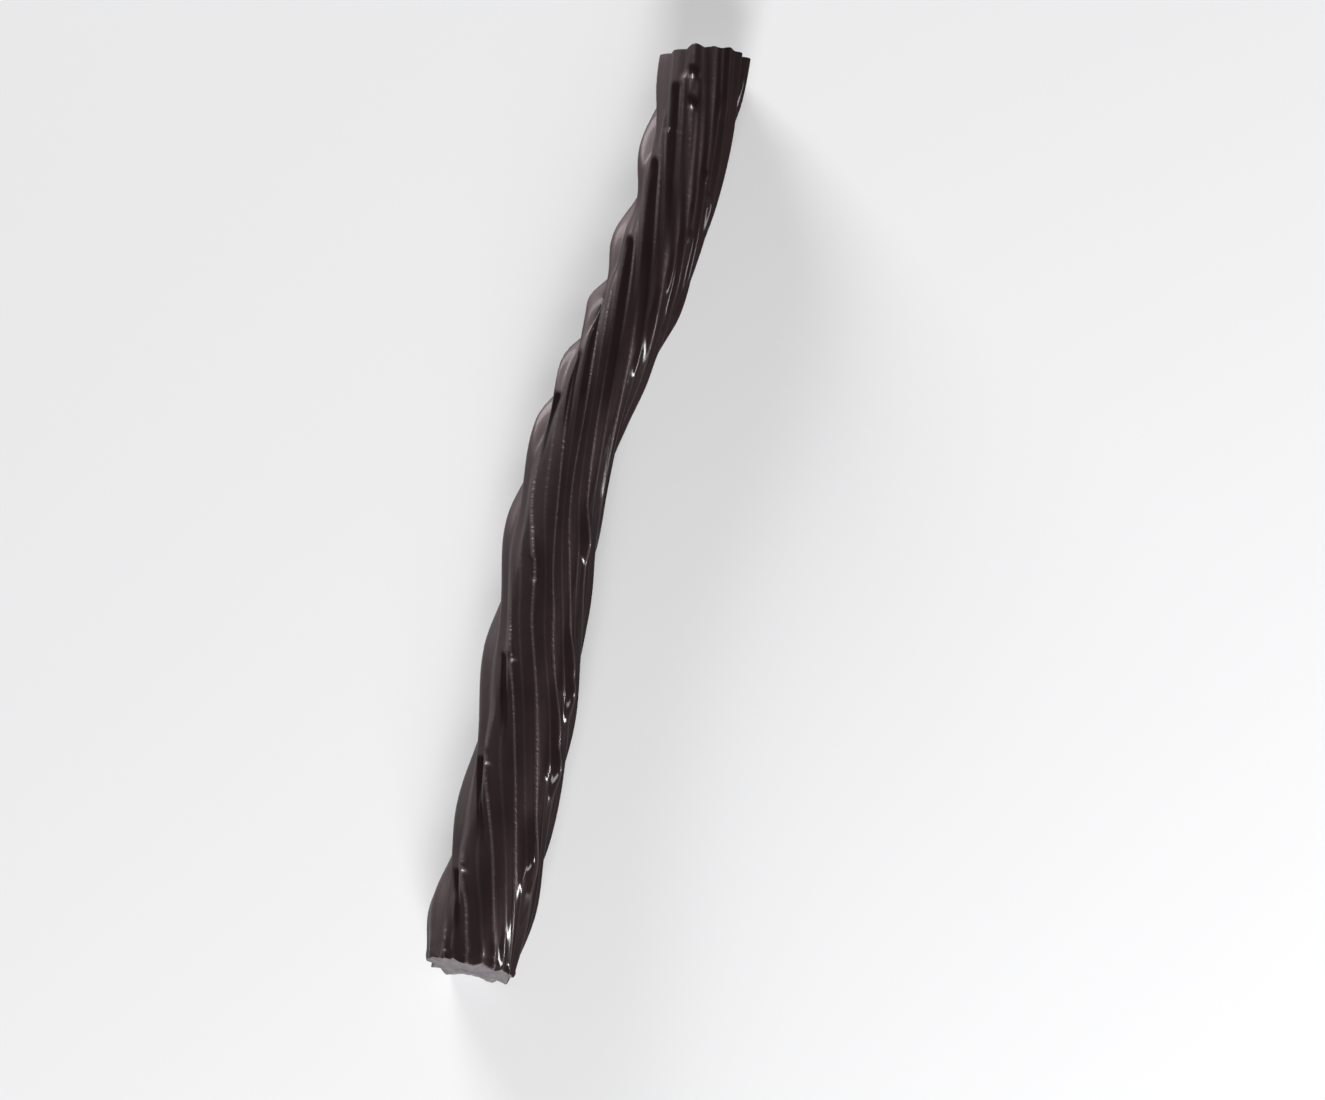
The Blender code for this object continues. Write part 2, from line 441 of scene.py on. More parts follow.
def eased(place, stations):
    """The values at places, easing from each station to the next."""
    spots, values = np.array(stations).T
    after = np.clip(np.searchsorted(spots, place, side="right"), 1, len(spots) - 1)
    share = np.clip((place - spots[after - 1]) / (spots[after] - spots[after - 1]), 0.0, 1.0)
    return values[after - 1] + (values[after] - values[after - 1]) * (0.5 - 0.5 * np.cos(math.pi * share))


def turned_at(place, length):
    """Degrees that the ribs have turned through at places, counted from the far cut."""
    middles = (np.arange(TURN_STEPS) + 0.5) / TURN_STEPS
    steps = eased(middles, TURN_RATES) * length / MM / TURN_STEPS
    turned = np.append(np.cumsum(steps[::-1])[::-1], 0.0)
    return np.interp(place, np.linspace(0.0, 1.0, TURN_STEPS + 1), turned)


def centre_line(place, length):
    """Where the strand's middle lies, seen from above, and the direction it runs in there."""
    wave = math.pi * np.arange(1, len(SIDEWAYS_WAVES) + 1)[:, None]
    height = np.array(SIDEWAYS_WAVES)[:, None]
    sideways = (height * np.sin(wave * place)).sum(0)
    slope = (height * wave * np.cos(wave * place)).sum(0)
    along = np.hypot(slope, length)
    middle = np.stack((sideways, (place - 0.5) * length), 1) - np.array(FOOTPRINT_MIDDLE)
    return middle, np.stack((slope / along, length / along), 1)


def ring_places(length):
    """The places of the rings, evenly spaced with a few close ones beside each cut."""
    even = np.linspace(0.0, 1.0, RINGS)
    close = np.array(END_STEPS) / length
    return np.unique(np.concatenate((even, close, 1.0 - close)))


def wrapped(angle):
    """Angles brought to between -180 and 180 degrees."""
    return (angle + 180.0) % 360.0 - 180.0


def rib_widths():
    """Width of each rib, and the angle from the first groove to where it starts."""
    widths = np.array([rib[0] for rib in RIBS], float)
    return widths, np.concatenate(((0.0,), np.cumsum(widths)[:-1]))


def rib_columns():
    """For each column of the mesh: its rib, its share across it, and its angle from the first groove."""
    even = np.arange(COLUMNS_PER_RIB) / COLUMNS_PER_RIB
    crowded = even - COLUMN_CROWDING * np.sin(4.0 * math.pi * even) / (4.0 * math.pi)
    ribs = np.repeat(np.arange(len(RIBS)), COLUMNS_PER_RIB)
    shares = np.tile(crowded, len(RIBS))
    widths, starts = rib_widths()
    return ribs, shares, starts[ribs] + widths[ribs] * shares


def hump(apart, reach):
    """A smooth hump, 1 at its middle and 0 from its reach on."""
    return np.cos(math.pi / 2.0 * np.minimum(np.abs(apart) / reach, 1.0)) ** 2


def lopsided_hump(apart, far_reach, near_reach):
    """A hump with its own reach towards each cut."""
    return hump(apart, np.where(apart > 0.0, far_reach, near_reach))


def rib_outline(ribs, shares, form):
    """Radius of a ribbed outline for each column, 1 being the radius over a full rib."""
    groove, crest_width, crest, line_width, line = form
    heights = np.array([rib[1] for rib in RIBS])[ribs]
    from_crest = np.abs(shares - 0.5)
    crests = heights * crest * hump(from_crest, crest_width)
    return 1.0 - groove + crests + line * hump(0.5 - from_crest, line_width)


def two_outlines(ribs, shares):
    """The round and the lined outline for each column."""
    lined = rib_outline(ribs, shares, LINED_RIBS) + LINED_SWELL * np.sin(math.pi * shares)
    return rib_outline(ribs, shares, ROUND_RIBS), lined


def swell_height(spot, level, swells):
    """The height in millimetres of a side's swells at spots along the strand."""
    height = np.full(spot.shape, level)
    for place, far_reach, near_reach, rise in swells:
        height += rise * lopsided_hump(spot - place, far_reach, near_reach)
    return height


def side_offset(angle, place, length):
    """How far the sides move the outline out or in at angles and places."""
    total = np.zeros(angle.shape)
    drag = SIDE_LEAN / (np.maximum(eased(place, TURN_RATES), LEAST_LEAN_RATE) * length / MM)
    for middle, reach, level, swells in SIDES:
        apart = wrapped(angle - middle)
        total += swell_height(place + apart * drag, level, swells) * MM * np.exp(-((apart / reach) ** 2))
    return total


def groove_filling(ribs, shares, places, radii):
    """How far the groove beside the first rib is filled where it runs out."""
    filled = eased(places, GROOVE_RUNS_OUT)[:, None]
    beside = ((ribs == 0) & (shares < 0.5)) | ((ribs == len(RIBS) - 1) & (shares > 0.5))
    round_depth = 1.0 - rib_outline(ribs, shares, ROUND_RIBS)
    lined_depth = 1.0 - two_outlines(ribs, shares)[1]
    lined = eased(places, LINED_PLACES)[:, None]
    depth = round_depth + (lined_depth - round_depth) * lined
    return np.where(beside, depth, 0.0) * filled * radii[:, None]


def line_strays(places):
    """Degrees that each line strays at each place."""
    strays = np.zeros((len(places), 2 * len(RIBS)))
    for number, place, far_reach, near_reach, degrees in STRAYS:
        strays[:, number] += degrees * lopsided_hump(places - place, far_reach, near_reach)
    crests = strays[:, 1::2]
    strays[:, 0::2] += (crests + np.roll(crests, 1, axis=1)) / 2.0
    return strays


def column_strays(places, ribs, shares):
    """Degrees that each column strays, between the two lines beside it."""
    strays = line_strays(places)
    groove, crest, next_groove = 2 * ribs, 2 * ribs + 1, (2 * ribs + 2) % (2 * len(RIBS))
    before = np.where(shares < 0.5, groove, crest)
    after = np.where(shares < 0.5, crest, next_groove)
    share = np.where(shares < 0.5, shares, shares - 0.5) / 0.5
    return strays[:, before] * (1.0 - share) + strays[:, after] * share


def line_angles(places, length):
    """The angle of each line at each place."""
    widths, starts = rib_widths()
    offsets = np.stack((starts, starts + widths / 2.0), 1).ravel()
    return FIRST_GROOVE + turned_at(places, length)[:, None] - offsets + line_strays(places)


def grid_angles(places, length):
    """The angle of each point of the grid, by ring and column."""
    ribs, shares, angles = rib_columns()
    straight = FIRST_GROOVE + turned_at(places, length)[:, None] - angles[None, :]
    return straight + column_strays(places, ribs, shares)


def swellings(angle, places, radii, length):
    """Height of the small swellings and grooves at each point of the grid, and how far each point lies within
    a groove."""
    lines = line_angles(places, length)
    total = np.zeros(angle.shape)
    within = np.zeros(angle.shape)
    for number, aside, place, far_reach, near_reach, half_width, height in SWELLINGS + BLUNT_GROOVES:
        share = lopsided_hump((places - place) * length / MM, far_reach, near_reach)[:, None]
        across = wrapped(angle - lines[:, number : number + 1] - aside)
        across = np.radians(across) * radii[:, None] / (half_width * MM)
        if height < 0.0:
            across /= np.where(across > 0.0, GROOVE_STEEPNESS, 1.0)
            within = np.maximum(within, np.sqrt(share) * np.exp(-(across**4)))
        total += height * MM * share * np.exp(-(across**2))
    return total, within


def fill(tree, socket, value):
    """Links another node's output to an input, or sets it to a constant."""
    if isinstance(value, bpy.types.NodeSocket):
        tree.links.new(value, socket)
    else:
        socket.default_value = value


def fill_inputs(tree, node, **inputs):
    """Fills some inputs of a node, each named with _ for a space."""
    for name, value in inputs.items():
        fill(tree, node.inputs[name.replace("_", " ")], value)


def add_node(tree, kind, **inputs):
    """A new node with some of its inputs filled."""
    made = tree.nodes.new(kind)
    fill_inputs(tree, made, **inputs)
    return made


def calculation(tree, operation, *numbers, kind="ShaderNodeMath"):
    """What a calculation makes of numbers or, with the other kind of node, of vectors."""
    made = tree.nodes.new(kind)
    made.operation = operation
    for socket, value in zip(made.inputs, numbers):
        fill(tree, socket, value)
    return made.outputs[0]


def scaled(tree, vector, factor):
    """A vector made longer or shorter."""
    made = tree.nodes.new("ShaderNodeVectorMath")
    made.operation = "SCALE"
    tree.links.new(vector, made.inputs[0])
    tree.links.new(factor, made.inputs["Scale"])
    return made.outputs["Vector"]


def tree_input(tree, name, kind="NodeSocketFloat"):
    """Gives a node tree one more input."""
    tree.interface.new_socket(name, in_out="INPUT", socket_type=kind)


def named_value(tree, name, data_type="FLOAT"):
    """What the guide or the outline carries under a name at each of its points."""
    made = tree.nodes.new("GeometryNodeInputNamedAttribute")
    made.data_type = data_type
    made.inputs["Name"].default_value = name
    return made.outputs["Attribute"]


def turned_guide(tree, guide):
    """The guide as an upright curve that turns as the guide says."""
    curve = add_node(tree, "GeometryNodeMeshToCurve", Mesh=guide).outputs["Curve"]
    upright = add_node(tree, "GeometryNodeSetCurveNormal", Curve=curve)
    upright.mode = "Z_UP"
    curve = upright.outputs["Curve"]
    turned = add_node(tree, "GeometryNodeSetCurveTilt", Curve=curve, Tilt=named_value(tree, "turn"))
    return turned.outputs["Curve"]


def fetched_outline(tree, outline):
    """The ribbed outline as a curve."""
    fetched = add_node(tree, "GeometryNodeObjectInfo", Object=outline)
    return add_node(tree, "GeometryNodeMeshToCurve", Mesh=fetched.outputs["Geometry"]).outputs["Curve"]


def drawn_to_lines(tree, strand):
    """The strand drawn towards the lined outline where the guide says so."""
    place = add_node(tree, "GeometryNodeInputPosition").outputs["Position"]
    middle = named_value(tree, "middle", "FLOAT_VECTOR")
    arm = calculation(tree, "SUBTRACT", place, middle, kind="ShaderNodeVectorMath")
    gain = calculation(tree, "MULTIPLY", named_value(tree, "lined_gain"), named_value(tree, "lined"))
    push = scaled(tree, arm, gain)
    return add_node(tree, "GeometryNodeSetPosition", Geometry=strand, Offset=push).outputs["Geometry"]


def grained(tree, given, strand):
    """The strand roughened with the fine unevenness of its skin."""
    fineness = calculation(tree, "DIVIDE", 1.0, given["Grain size"])
    grain = tree.nodes.new("ShaderNodeTexNoise")
    grain.noise_dimensions = "4D"
    fill_inputs(tree, grain, W=given["Seed"], Scale=fineness, Detail=3.0)
    centred = calculation(tree, "SUBTRACT", grain.outputs["Fac"], 0.5)
    height = calculation(tree, "MULTIPLY", centred, given["Grain height"])
    push = scaled(tree, add_node(tree, "GeometryNodeInputNormal").outputs["Normal"], height)
    return add_node(tree, "GeometryNodeSetPosition", Geometry=strand, Offset=push).outputs["Geometry"]


def strand_tree():
    """Sweeps the ribbed outline along the guide, turning and sizing it as the guide says, draws it towards
    the lined outline where the guide says so, and adds the fine grain."""
    tree = bpy.data.node_groups.new("Ribbed strand", "GeometryNodeTree")
    tree_input(tree, "Guide", "NodeSocketGeometry")
    tree_input(tree, "Outline", "NodeSocketObject")
    tree_input(tree, "Grain height")
    tree_input(tree, "Grain size")
    tree_input(tree, "Seed")
    tree_input(tree, "Skin", "NodeSocketMaterial")
    tree.interface.new_socket("Strand", in_out="OUTPUT", socket_type="NodeSocketGeometry")
    given = tree.nodes.new("NodeGroupInput").outputs
    sweep = add_node(
        tree,
        "GeometryNodeCurveToMesh",
        Curve=turned_guide(tree, given["Guide"]),
        Profile_Curve=fetched_outline(tree, given["Outline"]),
        Scale=named_value(tree, "girth"),
    )
    strand = grained(tree, given, drawn_to_lines(tree, sweep.outputs["Mesh"]))
    realized = add_node(tree, "GeometryNodeRealizeInstances", Geometry=strand).outputs["Geometry"]
    finished = add_node(tree, "GeometryNodeSetMaterial", Geometry=realized, Material=given["Skin"])
    add_node(tree, "NodeGroupOutput", Strand=finished.outputs["Geometry"])
    return tree


def line_object(name, points, closed, **numbers):
    """A line of points as a mesh of edges, with a number for each point under each given name."""
    count = len(points)
    edges = [(i, (i + 1) % count) for i in range(count if closed else count - 1)]
    mesh = bpy.data.meshes.new(name)
    mesh.from_pydata([tuple(point) for point in points], edges, [])
    for attribute, values in numbers.items():
        values = np.asarray(values, np.float32)
        flat = values.ndim == 1
        layer = mesh.attributes.new(attribute, "FLOAT" if flat else "FLOAT_VECTOR", "POINT")
        layer.data.foreach_set("value" if flat else "vector", values.ravel())
    made = bpy.data.objects.new(name, mesh)
    bpy.context.scene.collection.objects.link(made)
    return made


def sweep_lines(places, length):
    """The outline and the guide that the node tree sweeps it along."""
    ribs, shares, angles = rib_columns()
    round_outline, lined_outline = two_outlines(ribs, shares)
    around = np.radians(FIRST_GROOVE - angles)
    outline = np.stack((np.sin(around), -np.cos(around), np.zeros(len(ribs))), 1) * round_outline[:, None]
    girth = eased(places, RADII)
    path = np.column_stack((centre_line(places, length)[0], girth - PRESSED_FLAT))
    outline_object = line_object(
        "rib_outline",
        outline,
        closed=True,
        column=np.arange(len(ribs)),
        lined_gain=lined_outline / round_outline - 1.0,
    )
    guide = line_object(
        "strand_guide",
        path,
        closed=False,
        ring=np.arange(len(places)),
        turn=np.radians(turned_at(places, length)),
        girth=girth,
        lined=eased(places, LINED_PLACES),
        middle=path,
    )
    return outline_object, guide


def swept_mesh(settings, outline, guide, skin):
    """The strand's sides as the node tree makes them."""
    tree = strand_tree()
    sweep = guide.modifiers.new("Ribbed strand", "NODES")
    sweep.node_group = tree
    values = {
        "Outline": outline,
        "Grain height": settings.grain_height,
        "Grain size": settings.grain_size,
        "Seed": float(settings.seed),
        "Skin": skin,
    }
    for item in tree.interface.items_tree:
        if item.name in values:
            sweep[item.identifier] = values[item.name]
    return bpy.data.meshes.new_from_object(guide.evaluated_get(bpy.context.evaluated_depsgraph_get()))


def swept_points(settings, places, skin):
    """The swept strand's points by ring and column."""
    outline, guide = sweep_lines(places, settings.length)
    swept = swept_mesh(settings, outline, guide, skin)
    columns = COLUMNS_PER_RIB * len(RIBS)
    count = len(swept.vertices)
    if count != len(places) * columns:
        raise RuntimeError(f"the swept strand has {count} points")
    points = np.empty(count * 3)
    swept.vertices.foreach_get("co", points)
    ring = np.empty(count, np.float32)
    column = np.empty(count, np.float32)
    swept.attributes["ring"].data.foreach_get("value", ring)
    swept.attributes["column"].data.foreach_get("value", column)
    order = np.lexsort((column.round(), ring.round()))
    for item in (guide, outline):
        bpy.data.objects.remove(item, do_unlink=True)
    bpy.data.meshes.remove(swept)
    return points.reshape(-1, 3)[order].reshape(len(places), columns, 3)


def raised_tips(places, shares, length):
    """Height of the rib tips that stand up beside the near cut."""
    along = hump(places * length - LIP_REACH, LIP_REACH)[:, None]
    return LIP_HEIGHT * (along * hump(shares - 0.5, LIP_WIDTH))


def rounded_edges(places, length):
    """How far the edges between skin and cuts are rounded off."""
    end = np.minimum(places, 1.0 - places)[:, None] * length
    corner = np.clip(1.0 - end / CUT_ROUNDING, 0.0, 1.0)
    return CUT_ROUNDING * (1.0 - np.sqrt(1.0 - corner**2))


def drag_at_cuts(settings, place, aside):
    """How far points shift along the strand, to slant both cuts, drag the rib tips and tear the near edge."""
    ribs, shares, _ = rib_columns()
    tips = np.sin(math.pi * shares)
    near_tip = np.array([rib[2] for rib in RIBS])[ribs] * MM * tips
    far_tip = np.array([rib[3] for rib in RIBS])[ribs] * MM * tips
    near_share = np.clip(1.0 - place * settings.length / TIP_REACH, 0.0, 1.0) ** 2
    far_share = np.clip(1.0 - (1.0 - place) * settings.length / TIP_REACH, 0.0, 1.0) ** 2
    along = near_share * (aside * math.tan(math.radians(NEAR_CUT_SKEW)) - near_tip[None, :])
    along += far_share * (aside * math.tan(math.radians(FAR_CUT_SKEW)) + far_tip[None, :])
    along -= near_share**2 * torn_edge(len(ribs), settings.seed)[None, :]
    return along


def shape_strand(settings, places, grid):
    """Adds the shoulders and swells, the groove that runs out, the small swellings, the rounded and dragged
    cuts and the flat spots that the strand rests on."""
    length = settings.length
    ribs, shares, _ = rib_columns()
    middle, run = centre_line(places, length)
    radii = eased(places, RADII)
    angle = grid_angles(places, length)
    place = np.broadcast_to(places[:, None], angle.shape)

    lift = side_offset(angle, place, length)
    lift += groove_filling(ribs, shares, places, radii)
    lift += swellings(angle, places, radii, length)[0]
    lift += raised_tips(places, shares, length)
    lift -= rounded_edges(places, length)

    around = np.radians(angle)
    sideways = np.stack((run[:, 1], -run[:, 0]), 1)
    outward = np.stack(
        (np.sin(around) * sideways[:, 0:1], np.sin(around) * sideways[:, 1:2], np.cos(around)), 2
    )
    path = np.column_stack((middle, radii - PRESSED_FLAT))
    reach = np.linalg.norm(grid - path[:, None, :], axis=2)
    shoulder = SHOULDER_LEVEL + SHOULDER_ROUNDING * np.sin(math.pi * shares) ** SHOULDER_FULLNESS
    reach += (radii[:, None] * shoulder - reach) * (1.0 - relief_round(angle, places))
    shaped = path[:, None, :] + outward * (reach + lift)[..., None]

    aside = ((shaped[..., :2] - middle[:, None, :]) * sideways[:, None, :]).sum(2)
    along = drag_at_cuts(settings, place, aside)
    shaped[..., 0] += along * run[:, 0:1]
    shaped[..., 1] += along * run[:, 1:2]
    shaped[..., 2] = np.maximum(shaped[..., 2], 0.0)
    return shaped


def torn_edge(columns, seed):
    """How far a cut's edge is dragged at each column, in smooth steps round it."""
    rng = np.random.default_rng(seed)
    total = np.zeros(columns)
    turn = np.linspace(0.0, 2.0 * math.pi, columns, endpoint=False)
    for waves in TORN_WAVES:
        total += rng.normal(0.0, TORN_DRAG) * np.sin(waves * turn + rng.uniform(0.0, 2.0 * math.pi))
    return total


def cut_face(ring, run, outward, seed):
    """Rings of points that close a cut: as uneven as its edge there, level and crowned towards the middle,
    and torn in fine steps by the blade."""
    middle = ring.mean(0)
    rng = np.random.default_rng(seed)
    flat = ring - middle
    along = flat[:, 0] * run[0] + flat[:, 1] * run[1]
    level = np.stack((flat[:, 0] * run[1] - flat[:, 1] * run[0], flat[:, 2]), 1)
    unevenness = along - level @ np.linalg.lstsq(level, along, rcond=None)[0]
    rows = []
    for number in range(1, CUT_RINGS):
        share = 1.0 - number / CUT_RINGS
        row = middle + flat * share
        push = outward * CUT_CROWN * (1.0 - share**2) + rng.normal(0.0, CUT_ROUGHNESS, len(ring))
        push += unevenness * (share**CUT_LEVELLING - share)
        row[:, 0] += push * run[0]
        row[:, 1] += push * run[1]
        rows.append(row)
    tip = middle + np.array((run[0], run[1], 0.0)) * outward * CUT_CROWN
    return rows, tip


def fit_in_box(points):
    """Draws the strand in by the hair's breadth that its finer ribs stand out of the part's box."""
    low, high = points.min(0), points.max(0)
    box_low, box_high = np.array(BOX_LOW), np.array(BOX_HIGH)
    size = np.minimum(high - low, box_high - box_low)
    start = np.clip(low, box_low, box_high - size)
    return start + (points - low) * size / (high - low)


def relief_round(angle, places):
    """Share of the relief left at each point of the grid."""
    level = wrapped(angle)
    level -= eased(places, SHOULDER_REACH)[:, None] * (level < 0.0)
    level += eased(places, FLANK_REACH)[:, None] * (level > 0.0)
    return eased(level, RELIEF_ROUND)


def line_gloss(shares, form, gloss):
    """Strength of the glossy lines of an outline for each column."""
    spread, on_crests, in_grooves = gloss
    from_crest = np.abs(shares - 0.5)
    crests = on_crests * hump(from_crest, form[1] * spread)
    return crests + in_grooves * hump(0.5 - from_crest, form[3] * spread)


def skin_masks(places, length):
    """Strength of the glossy lines, of the satin shoulders, and of the painted shade that takes sheen and
    coat off the right side and the grooves, at each point of the grid."""
    shares = rib_columns()[1]
    angle = grid_angles(places, length)
    lined = eased(places, LINED_PLACES)[:, None]
    broad = line_gloss(shares, ROUND_RIBS, ROUND_GLOSS)
    across = broad + (line_gloss(shares, LINED_RIBS, LINED_GLOSS) - broad) * lined
    relief = relief_round(angle, places)
    level = wrapped(angle)
    within = swellings(angle, places, eased(places, RADII), length)[1]
    # Painted shade: the right side loses its sheen and coat so that it reads dark
    painted_shade = eased(level, FLANK_ROUND) * (1.0 - FLANK_LINED * lined)
    # The blunt grooves join the painted shade, which darkens their hollows, and the shoulders' mask also
    # keeps a painted sheen on the left rims only
    return {
        "fine_line": across * relief * (1.0 - within) * (1.0 - FLANK_HIDES * painted_shade),
        "shoulder": (1.0 - relief) * (level < 0.0) * (1.0 - within),
        "painted_shade": np.maximum(painted_shade, within),
    }


def strand_faces(rings, columns):
    """The faces of the sides and of the two cuts. The near cut's rings of points come after the sides', then
    the far cut's, and last the middles of both cuts."""
    column = np.arange(columns)
    after = (column + 1) % columns
    sides = []
    for low in range(0, (rings - 1) * columns, columns):
        high = low + columns
        sides.append(np.stack((low + column, low + after, high + after, high + column), 1))

    near_rings = [0] + [(rings + number) * columns for number in range(CUT_RINGS - 1)]
    far_rings = [(rings - 1) * columns] + [start + (CUT_RINGS - 1) * columns for start in near_rings[1:]]
    cuts = []
    for outer, inner in zip(near_rings, near_rings[1:]):
        cuts.append(np.stack((outer + after, outer + column, inner + column, inner + after), 1))
    for outer, inner in zip(far_rings, far_rings[1:]):
        cuts.append(np.stack((outer + column, outer + after, inner + after, inner + column), 1))

    near_middle = far_rings[-1] + columns
    middle = np.full(columns, near_middle)
    near_fan = np.stack((near_rings[-1] + after, near_rings[-1] + column, middle), 1)
    far_fan = np.stack((far_rings[-1] + column, far_rings[-1] + after, middle + 1), 1)
    cut_faces = np.concatenate(cuts).tolist() + near_fan.tolist() + far_fan.tolist()
    return np.concatenate(sides).tolist(), cut_faces


def strand_mesh(settings, skin, cut):
    """The strand's closed mesh, with its skin on the sides and the cut candy at both ends."""
    places = ring_places(settings.length)
    grid = shape_strand(settings, places, swept_points(settings, places, skin))
    rings, columns = grid.shape[:2]
    run = centre_line(places, settings.length)[1]
    near_rows, near_tip = cut_face(grid[0], run[0], -1.0, settings.seed)
    far_rows, far_tip = cut_face(grid[-1], run[-1], 1.0, settings.seed + 1)
    points = np.concatenate((grid.reshape(-1, 3), *near_rows, *far_rows, [near_tip], [far_tip]))
    points = fit_in_box(points)

    sides, cuts = strand_faces(rings, columns)
    mesh = bpy.data.meshes.new("black_licorice_twist")
    mesh.from_pydata(points.tolist(), [], sides + cuts)
    mesh.materials.append(skin)
    mesh.materials.append(cut)
    mesh.polygons.foreach_set("material_index", np.repeat((0, 1), (len(sides), len(cuts))).astype(np.int32))
    for name, values in skin_masks(places, settings.length).items():
        mask = np.zeros(len(points), np.float32)
        mask[: rings * columns] = values.ravel()
        mesh.attributes.new(name, "FLOAT", "POINT").data.foreach_set("value", mask)
    mesh.shade_smooth()
    mesh.validate()
    mesh.update()
    return mesh


def new_material(name):
    """A material, its node tree and its shader."""
    material = bpy.data.materials.new(name)
    material.use_nodes = True
    return material, material.node_tree, material.node_tree.nodes["Principled BSDF"]


def skin_mask(tree, name):
    """The strength that the strand's mesh carries under a name."""
    made = tree.nodes.new("ShaderNodeAttribute")
    made.attribute_name = name
    return made.outputs["Fac"]


def ranged(tree, value, start, end, low, high):
    """A value brought from one range to another."""
    made = add_node(
        tree, "ShaderNodeMapRange", Value=value, From_Min=start, From_Max=end, To_Min=low, To_Max=high
    )
    return made.outputs["Result"]


def two_shades(tree, mix, colour, shares):
    """A blend from a darker to a lighter shade of a colour."""
    ramp = add_node(tree, "ShaderNodeValToRGB", Fac=mix)
    for element, position, share in zip(ramp.color_ramp.elements, SHADE_SPAN, shares):
        element.position = position
        element.color = (*(np.array(colour) * share), 1.0)
    return ramp.outputs["Color"]


def skin_roughness(tree, cloud, settings):
    """Roughness in soft clouds, more along the lines and on the shoulders."""
    smoothest, roughest = (settings.skin_roughness + spread for spread in ROUGHNESS_SPREAD)
    gloss = ranged(tree, cloud, 0.0, 1.0, smoothest, roughest)
    duller = calculation(tree, "MULTIPLY_ADD", skin_mask(tree, "fine_line"), LINE_ROUGHNESS, gloss)
    return calculation(tree, "MULTIPLY_ADD", skin_mask(tree, "shoulder"), SHOULDER_ROUGHNESS, duller)


def skin_sheen(tree, facing):
    """Sheen of the faces that look at the eye, taken away as painted shade on the right side and in the
    grooves, and raised along the lines as a painted highlight. Towards the rim it goes over to the shoulders'
    own: a painted sheen on the left shoulders' rims and painted shade on every other rim."""
    # Painted shade: the sheen is taken off the right side and the grooves
    top = ranged(tree, skin_mask(tree, "painted_shade"), 0.0, SHEEN_GONE, TOP_SHEEN, 0.0)
    # Towards the rim the sheen goes over to the shoulders' mask: painted sheen on the left rims, painted
    # shade on all others
    sheen = ranged(tree, facing, *SHEEN_SPAN, top, skin_mask(tree, "shoulder"))
    # Extra sheen along the fine lines, a painted highlight over their real beads
    return calculation(tree, "MULTIPLY_ADD", skin_mask(tree, "fine_line"), LINE_SHEEN, sheen)


def skin_coat(tree, facing):
    """Weight of the glossy coat, full on the faces that look at the eye and fading towards the rim as painted
    shade there, thin on the shoulders, and thin as painted shade on the right side and in the grooves."""
    # The coat fades towards the rim, painted shade on the rims
    wetness = ranged(tree, facing, *COAT_SPAN, COAT_WEIGHT, 0.0)
    shoulder = ranged(tree, skin_mask(tree, "shoulder"), 0.0, 1.0, 1.0, SHOULDER_COAT)
    # Painted shade: little coat is left on the right side and in the grooves
    painted_shade = ranged(tree, skin_mask(tree, "painted_shade"), 0.0, 1.0, 1.0, FLANK_COAT)
    return calculation(tree, "MULTIPLY", wetness, calculation(tree, "MULTIPLY", shoulder, painted_shade))


def beaded_relief(tree, where):
    """Beads along the fine lines, over a fine grain."""
    place = add_node(tree, "ShaderNodeMapping", Vector=where, Scale=(0.25, 1.0, 0.25)).outputs["Vector"]
    beads = add_node(tree, "ShaderNodeTexNoise", Vector=place, Scale=1600.0, Detail=1.0, Roughness=0.5)
    beaded = calculation(tree, "MULTIPLY", beads.outputs["Fac"], skin_mask(tree, "fine_line"))
    bumps = add_node(tree, "ShaderNodeBump", Strength=1.0, Distance=0.25 * MM, Height=beaded)
    grain = add_node(tree, "ShaderNodeTexNoise", Vector=where, Scale=2600.0, Detail=3.0, Roughness=0.6)
    relief = add_node(
        tree,
        "ShaderNodeBump",
        Strength=0.25,
        Distance=0.04 * MM,
        Height=grain.outputs["Fac"],
        Normal=bumps.outputs["Normal"],
    )
    return relief.outputs["Normal"]


def skin_material(settings):
    """Near-black candy skin: satin on the shoulders, glossy on top and beaded along its fine lines, with
    painted shade on the right side, in the grooves and on the rims, and painted sheen along the lines and on
    the left rims."""
    material, tree, shader = new_material("Licorice skin")
    where = tree.nodes.new("ShaderNodeTexCoord").outputs["Object"]
    facing = add_node(tree, "ShaderNodeLayerWeight", Blend=0.5).outputs["Facing"]
    clouds = add_node(tree, "ShaderNodeTexNoise", Vector=where, Scale=160.0, Detail=4.0, Roughness=0.55)
    cloud = clouds.outputs["Fac"]
    fill_inputs(
        tree,
        shader,
        Base_Color=two_shades(tree, cloud, settings.skin_colour, SKIN_SHADES),
        Roughness=skin_roughness(tree, cloud, settings),
        Specular_IOR_Level=skin_sheen(tree, facing),
        Specular_Tint=SHEEN_TINT,
        Coat_Weight=skin_coat(tree, facing),
        Coat_Roughness=COAT_ROUGHNESS,
        Normal=beaded_relief(tree, where),
    )
    return material


def cut_material(settings):
    """The cut candy: paler and duller than the skin, with the blade's fine drag marks."""
    material, tree, shader = new_material("Licorice cut")
    where = tree.nodes.new("ShaderNodeTexCoord").outputs["Object"]
    place = add_node(tree, "ShaderNodeMapping", Vector=where, Scale=(1.0, 1.0, 0.35)).outputs["Vector"]
    marks = add_node(tree, "ShaderNodeTexNoise", Vector=place, Scale=900.0, Detail=5.0, Roughness=0.6)
    mark = marks.outputs["Fac"]
    relief = add_node(tree, "ShaderNodeBump", Strength=0.5, Distance=0.1 * MM, Height=mark)
    fill_inputs(
        tree,
        shader,
        Base_Color=two_shades(tree, mark, settings.cut_colour, CUT_SHADES),
        Roughness=0.55,
        Specular_IOR_Level=0.4,
        Normal=relief.outputs["Normal"],
    )
    return material


